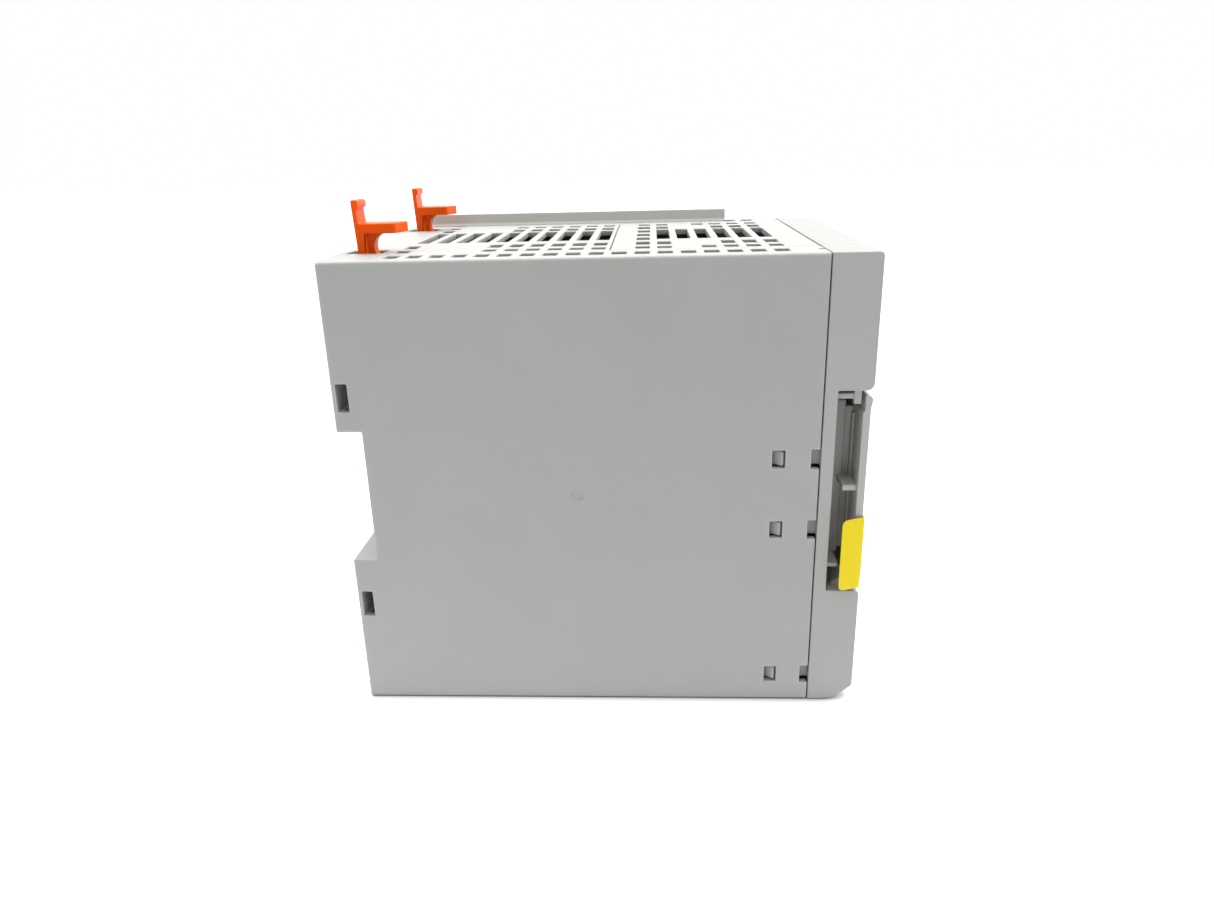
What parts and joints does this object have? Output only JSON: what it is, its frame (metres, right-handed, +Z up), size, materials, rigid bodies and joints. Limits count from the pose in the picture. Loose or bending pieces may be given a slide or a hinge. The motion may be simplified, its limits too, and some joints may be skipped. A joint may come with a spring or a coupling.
{
  "type": "programmable logic controller module",
  "caption": "Rail-mounted controller module: vented grey box with a separate front cover, hinged front flap, network and supply sockets, and two orange slide latches on top.",
  "frame": {"origin": "centre of the rail seat: the middle of the channel's flat floor, half way along the module's width and height", "axes": "+X to the module's right seen from the front, +Y rearwards out of the rail seat, +Z up; the front faces -Y"},
  "size_m": [0.1025, 0.133, 0.133],
  "materials": {
    "housing_plastic": "fine spark-eroded texture",
    "cover_plastic": "fine spark-eroded texture",
    "door_plastic": "satin",
    "latch_plastic": "satin gloss",
    "tab_film": "satin film",
    "spring_steel": "bright",
    "shield_steel": "tin plated",
    "circuit_board": "solder mask",
    "chip_epoxy": "matte",
    "connector_plastic": "satin",
    "heat_sink_metal": "anodised",
    "capacitor_sleeve": "shrink sleeve",
    "coil_wire": "enamelled",
    "cell_steel": "bright",
    "switch_plastic": "satin",
    "light_guide": "clear",
    "fuse_glass": "clear"
  },
  "bodies": {
    "housing": {"main_housing": "housing_plastic", "top_hatch": "housing_plastic", "marker_strip": "housing_plastic", "front_cover": "cover_plastic", "door_hinge_rod": "spring_steel", "latch_spring_left": "spring_steel", "latch_spring_right": "spring_steel", "ground_contact": "spring_steel", "main_board": "circuit_board", "power_board": "circuit_board", "front_board": "circuit_board", "processor": "chip_epoxy", "heat_sink": "heat_sink_metal", "memory_chip_1": "chip_epoxy", "memory_chip_2": "chip_epoxy", "network_chip": "chip_epoxy", "battery_holder": "connector_plastic", "battery": "cell_steel", "card_socket": "shield_steel", "board_link_main": "connector_plastic", "board_link_power": "connector_plastic", "transformer": "chip_epoxy", "input_choke": "coil_wire", "capacitor_1": "capacitor_sleeve", "capacitor_2": "capacitor_sleeve", "capacitor_3": "capacitor_sleeve", "fuse": "fuse_glass", "board_screw_1": "spring_steel", "board_screw_2": "spring_steel", "board_screw_3": "spring_steel", "board_screw_4": "spring_steel", "network_socket_1": "shield_steel", "network_socket_2": "shield_steel", "network_socket_3": "shield_steel", "power_header": "connector_plastic", "usb_socket": "shield_steel", "usb_tongue": "connector_plastic", "light_pipe": "light_guide", "mode_switch_body": "connector_plastic", "reset_switch_body": "connector_plastic"},
    "left_latch": {"rail_latch_left": "latch_plastic"},
    "right_latch": {"rail_latch_right": "latch_plastic"},
    "door": {"front_door": "door_plastic", "pull_tab": "tab_film"},
    "card": {"memory_card": "connector_plastic"},
    "switch_lever": {"mode_switch_lever": "switch_plastic"},
    "reset": {"reset_button": "switch_plastic"}
  },
  "joints": [
    {"name": "left_latch_slide", "type": "slide", "parent": "housing", "child": "left_latch", "axis": [0, 0, 1], "range_m": [-0.0046, 0]},
    {"name": "right_latch_slide", "type": "slide", "parent": "housing", "child": "right_latch", "axis": [0, 0, 1], "range_m": [-0.0046, 0]},
    {"name": "door_hinge", "type": "hinge", "parent": "housing", "child": "door", "pos_m": [0, -0.1249, -0.02495], "axis": [1, 0, 0], "range_deg": [0, 90]},
    {"name": "card_slide", "type": "slide", "parent": "housing", "child": "card", "axis": [0, -1, 0], "range_m": [-0.0015, 0.003]},
    {"name": "mode_switch_slide", "type": "slide", "parent": "housing", "child": "switch_lever", "axis": [0, 0, 1], "range_m": [-0.002, 0.002]},
    {"name": "reset_press", "type": "slide", "parent": "housing", "child": "reset", "axis": [0, 1, 0], "range_m": [0, 0.001], "stiffness_N_per_m": 400, "springref_m": -0.0005}
  ]
}
